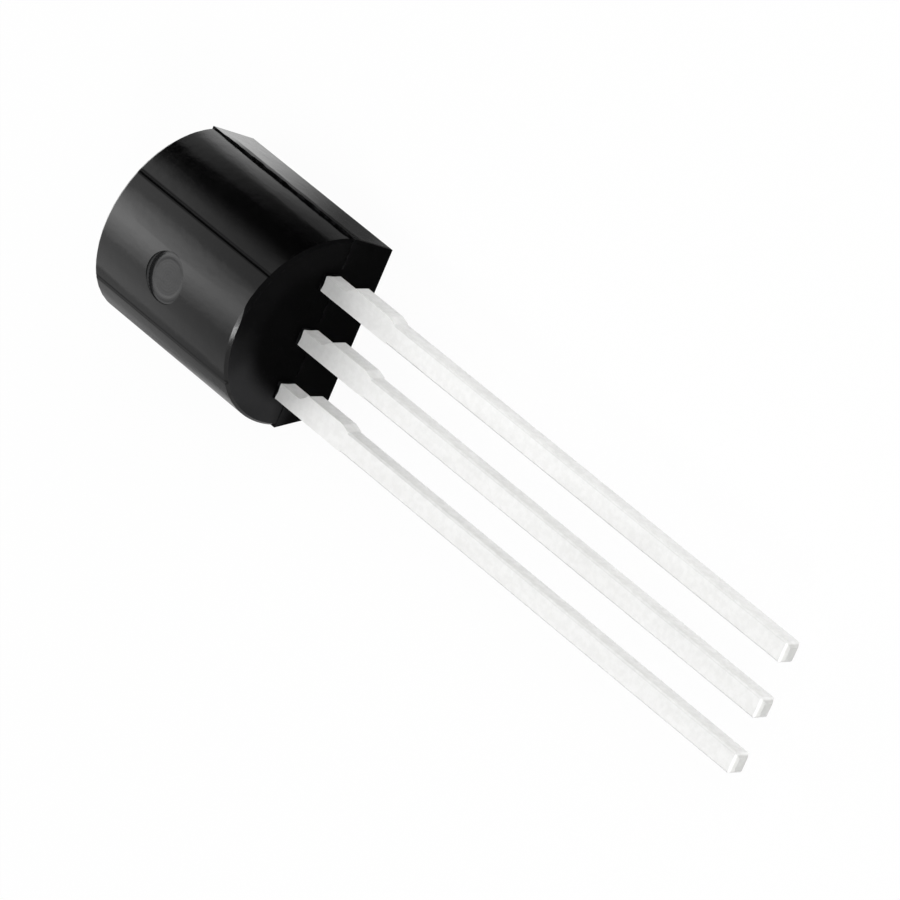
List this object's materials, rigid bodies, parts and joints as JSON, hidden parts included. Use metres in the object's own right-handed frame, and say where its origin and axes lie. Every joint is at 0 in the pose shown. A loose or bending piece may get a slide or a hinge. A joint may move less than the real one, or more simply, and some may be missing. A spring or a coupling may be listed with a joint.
{
  "type": "thyristor",
  "caption": "Small thyristor in a moulded D-shaped plastic body with a round back, a flat front and straight flat tinned leads in one row.",
  "frame": {"origin": "middle of the flat front face of the body", "axes": "+Z out of the rounded back, so the part lies on its flat front; the leads point along -Y; +X runs across the leads towards the cathode lead"},
  "size_m": [0.0044, 0.0189, 0.0035],
  "materials": {
    "moulding_compound": "black epoxy moulding compound, fine satin mould texture",
    "tinned_lead": "matt bright tin plating over the stamped lead frame strip",
    "solder": "dull die attach solder",
    "silicon": "polished grey silicon",
    "gold_wire": "bright gold bond wire",
    "aluminium_wire": "bright aluminium bond wire"
  },
  "bodies": {
    "root": {"moulded_body": "moulding_compound", "anode_lead": "tinned_lead", "gate_lead": "tinned_lead", "cathode_lead": "tinned_lead", "die_attach": "solder", "silicon_die": "silicon", "gate_bond_wire": "gold_wire", "cathode_bond_wire": "aluminium_wire"}
  },
  "joints": []
}
